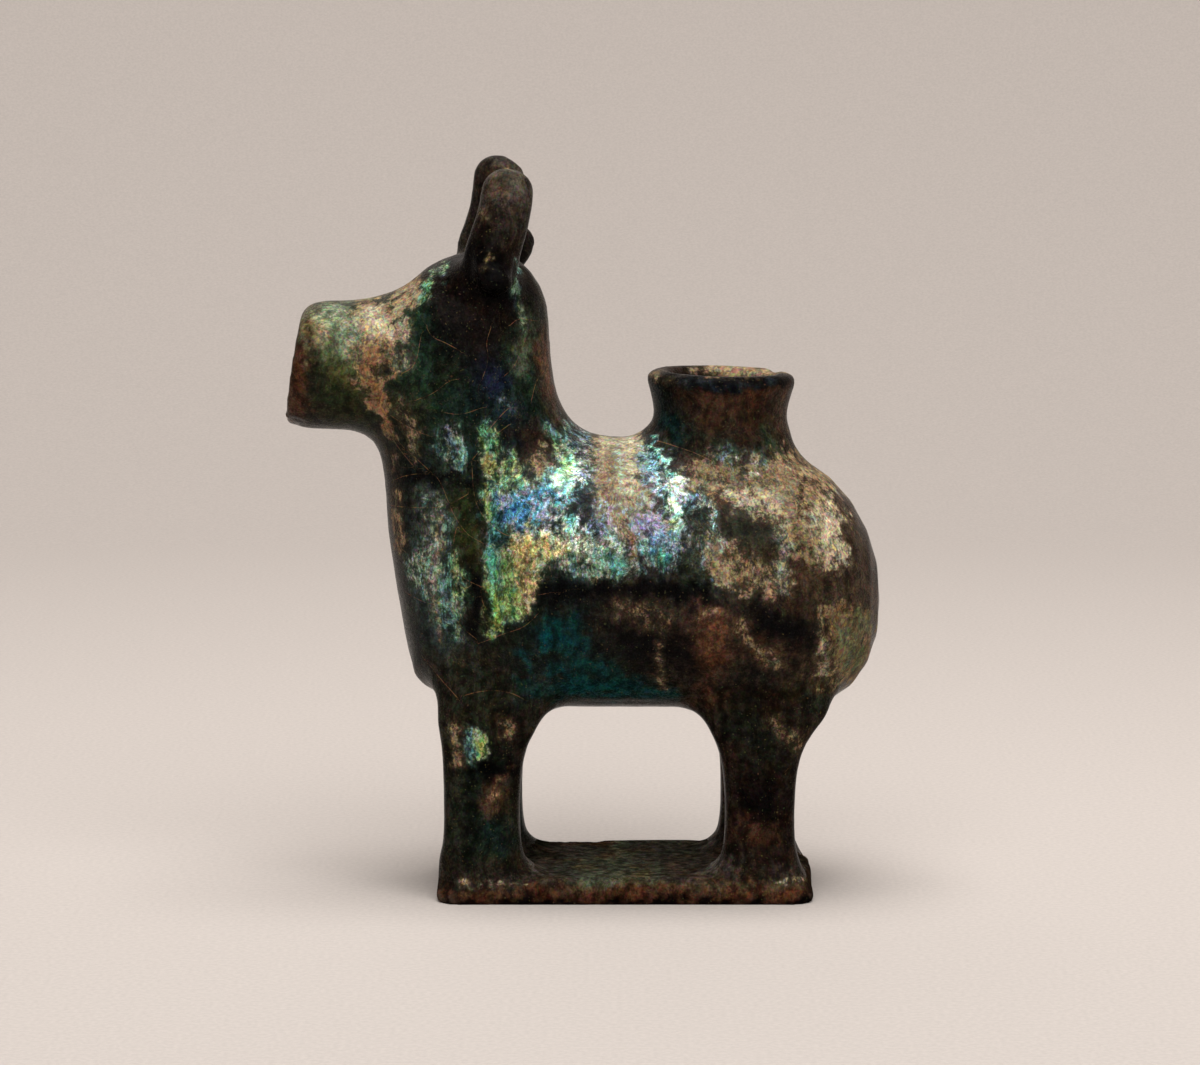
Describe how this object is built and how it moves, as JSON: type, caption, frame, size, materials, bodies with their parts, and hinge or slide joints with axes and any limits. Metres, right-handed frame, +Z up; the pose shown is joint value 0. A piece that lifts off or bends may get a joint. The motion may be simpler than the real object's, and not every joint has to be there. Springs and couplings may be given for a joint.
{
  "type": "zoomorphic vessel",
  "caption": "Glazed earthenware pouring vessel shaped as a standing horned animal, filled through a collar on its back and poured through its tubular muzzle.",
  "frame": {"origin": "centre of the base slab's underside", "axes": "+Z up, -X towards the muzzle, -Y towards the animal's left side"},
  "size_m": [0.1301, 0.054, 0.161],
  "materials": {
    "slab_clay": "worn brown glaze with a pale crust on its edges",
    "leg_glaze": "worn dark green and brown glaze",
    "body_glaze": "weathered glaze, buff crust over dark green with an iridescent film",
    "head_glaze": "dark green weathered glaze with fine cracks",
    "muzzle_glaze": "worn green and brown glaze, bare buff clay in a strip",
    "collar_glaze": "brown glaze with a dark lip",
    "horn_clay": "dark brown worn glaze"
  },
  "bodies": {
    "root": {"base_slab": "slab_clay", "left_foreleg": "leg_glaze", "right_foreleg": "leg_glaze", "left_hind_leg": "leg_glaze", "right_hind_leg": "leg_glaze", "body_barrel": "body_glaze", "chest": "head_glaze", "head": "head_glaze", "muzzle_spout": "muzzle_glaze", "filler_collar": "collar_glaze", "left_horn": "horn_clay", "right_horn": "horn_clay", "right_ear": "horn_clay", "left_ear_stump": "horn_clay"}
  },
  "joints": []
}
